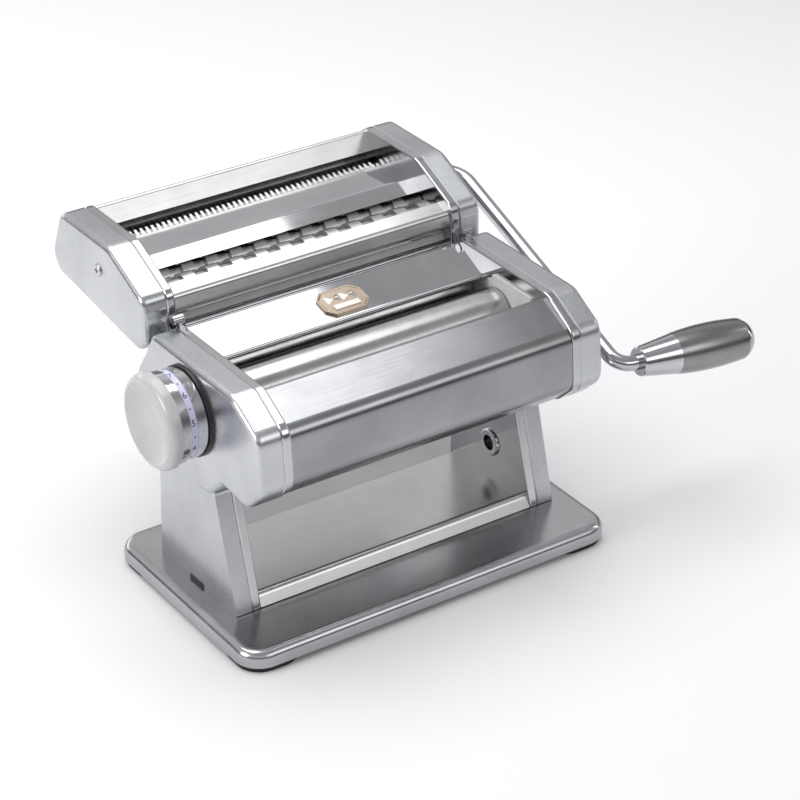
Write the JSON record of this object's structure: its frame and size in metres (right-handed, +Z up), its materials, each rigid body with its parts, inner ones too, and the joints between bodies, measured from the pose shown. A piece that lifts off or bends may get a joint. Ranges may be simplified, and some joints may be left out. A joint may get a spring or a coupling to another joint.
{
  "type": "pasta roller machine",
  "caption": "Hand-cranked dough sheeter with smooth rollers, a click-stop thickness dial, a clip-on noodle cutter behind them and a bent crank with a turning grip.",
  "frame": {"origin": "on the table, under the middle of the base plate", "axes": "+X along the rollers from the thickness dial to the crank, +Y to the back where the cutter hangs, +Z up"},
  "size_m": [0.3087, 0.1847, 0.1583],
  "materials": {
    "satin_steel": "satin",
    "polished_steel": "polished",
    "roller_steel": "machined",
    "spring_steel": "drawn wire",
    "gear_steel": "machined",
    "bearing_bronze": "sintered",
    "guard_plastic": "moulded",
    "foot_rubber": "matt",
    "badge_metal": "satin with bright facets",
    "dial_chrome": "polished",
    "seat_black": "matt",
    "band_plastic": "printed with numbers",
    "cap_plastic": "satin moulding",
    "grip_satin": "satin",
    "grip_end": "polished"
  },
  "bodies": {
    "frame": {"base_plate": "satin_steel", "rubber_feet": "foot_rubber", "cross_tray": "polished_steel", "left_side_plate": "satin_steel", "right_side_plate": "satin_steel", "left_end_cover": "satin_steel", "right_end_cover": "satin_steel", "front_shell": "satin_steel", "hopper_plate": "polished_steel", "rear_shell": "satin_steel", "hopper_badge": "badge_metal", "tie_rods": "polished_steel", "rod_nuts": "polished_steel", "left_roller_guard": "guard_plastic", "right_roller_guard": "guard_plastic", "roller_bushes": "bearing_bronze", "front_scraper": "guard_plastic", "rear_scraper": "guard_plastic", "clamp_socket": "polished_steel", "cutter_rails": "polished_steel", "hook_studs": "polished_steel", "dial_seat": "seat_black"},
    "front_carriage": {"adjust_blocks": "gear_steel"},
    "front_roller_unit": {"front_roller": "roller_steel", "front_roller_gear": "gear_steel"},
    "rear_roller_unit": {"rear_roller": "roller_steel", "rear_roller_gear": "gear_steel"},
    "drive": {"drive_pinion": "gear_steel"},
    "dial_core": {"dial_shaft": "gear_steel", "dial_spring": "spring_steel"},
    "dial_knob": {"dial_barrel": "dial_chrome", "number_band": "band_plastic", "dial_cap": "cap_plastic"},
    "cutter_head": {"cutter_left_side": "satin_steel", "cutter_right_side": "satin_steel", "cutter_left_cover": "satin_steel", "cutter_right_cover": "satin_steel", "cover_screws": "polished_steel", "cutter_back_plate": "satin_steel", "cutter_middle_plate": "polished_steel", "cutter_front_plate": "satin_steel", "cutter_ties": "polished_steel", "cutter_channels": "polished_steel", "cutter_bushes": "bearing_bronze", "wide_combs": "guard_plastic", "narrow_combs": "guard_plastic"},
    "wide_front_unit": {"wide_front_cutter": "roller_steel", "wide_front_gear": "gear_steel"},
    "wide_rear_unit": {"wide_rear_cutter": "roller_steel", "wide_rear_gear": "gear_steel"},
    "narrow_front_unit": {"narrow_front_cutter": "roller_steel", "narrow_front_gear": "gear_steel"},
    "narrow_rear_unit": {"narrow_rear_cutter": "roller_steel", "narrow_rear_gear": "gear_steel"},
    "crank": {"crank_arm": "polished_steel"},
    "grip": {"grip_ferrule": "grip_satin", "crank_grip": "grip_satin", "grip_cap": "grip_end"}
  },
  "joints": [
    {"name": "drive_turn", "type": "hinge", "parent": "frame", "child": "drive", "pos_m": [0.093, 0.0245, 0.08494], "axis": [1, 0, 0], "continuous": true},
    {"name": "rear_roller_spin", "type": "hinge", "parent": "frame", "child": "rear_roller_unit", "pos_m": [0, 0.0275, 0.107], "axis": [1, 0, 0], "continuous": true},
    {"name": "dial_turn", "type": "hinge", "parent": "frame", "child": "dial_core", "pos_m": [-0.093, -0.0002, 0.107], "axis": [1, 0, 0], "range_deg": [0, 324]},
    {"name": "roller_gap", "type": "slide", "parent": "frame", "child": "front_carriage", "axis": [0, 1, 0], "range_m": [0, 0.0042]},
    {"name": "front_roller_spin", "type": "hinge", "parent": "front_carriage", "child": "front_roller_unit", "pos_m": [0, -0.0023, 0.107], "axis": [1, 0, 0], "continuous": true},
    {"name": "dial_pull", "type": "slide", "parent": "dial_core", "child": "dial_knob", "axis": [-1, 0, 0], "range_m": [0, 0.005], "deforming": ["dial_spring"]},
    {"name": "cutter_lift", "type": "slide", "parent": "frame", "child": "cutter_head", "axis": [0, 0, 1], "range_m": [0, 0.04]},
    {"name": "wide_front_spin", "type": "hinge", "parent": "cutter_head", "child": "wide_front_unit", "pos_m": [0, 0.0518, 0.1353], "axis": [1, 0, 0], "continuous": true},
    {"name": "wide_rear_spin", "type": "hinge", "parent": "cutter_head", "child": "wide_rear_unit", "pos_m": [0, 0.0676, 0.1353], "axis": [1, 0, 0], "continuous": true},
    {"name": "crank_turn", "type": "hinge", "parent": "cutter_head", "child": "narrow_front_unit", "pos_m": [0, 0.0901, 0.1353], "axis": [1, 0, 0], "continuous": true},
    {"name": "narrow_rear_spin", "type": "hinge", "parent": "cutter_head", "child": "narrow_rear_unit", "pos_m": [0, 0.1059, 0.1353], "axis": [1, 0, 0], "continuous": true},
    {"name": "crank_pull", "type": "slide", "parent": "narrow_front_unit", "child": "crank", "axis": [1, 0, 0], "range_m": [0, 0.02]},
    {"name": "grip_spin", "type": "hinge", "parent": "crank", "child": "grip", "pos_m": [0.1182, -0.0405, 0.0811], "axis": [0.9947, -0.0905, -0.0486], "continuous": true}
  ],
  "couplings": [
    {"joint": "rear_roller_spin", "follows": "drive_turn", "ratio": -0.72727},
    {"joint": "front_roller_spin", "follows": "drive_turn", "ratio": 0.72727},
    {"joint": "roller_gap", "follows": "dial_turn", "m_per_rad": 0.00074272},
    {"joint": "wide_rear_spin", "follows": "wide_front_spin", "ratio": -1},
    {"joint": "narrow_rear_spin", "follows": "crank_turn", "ratio": -1}
  ]
}
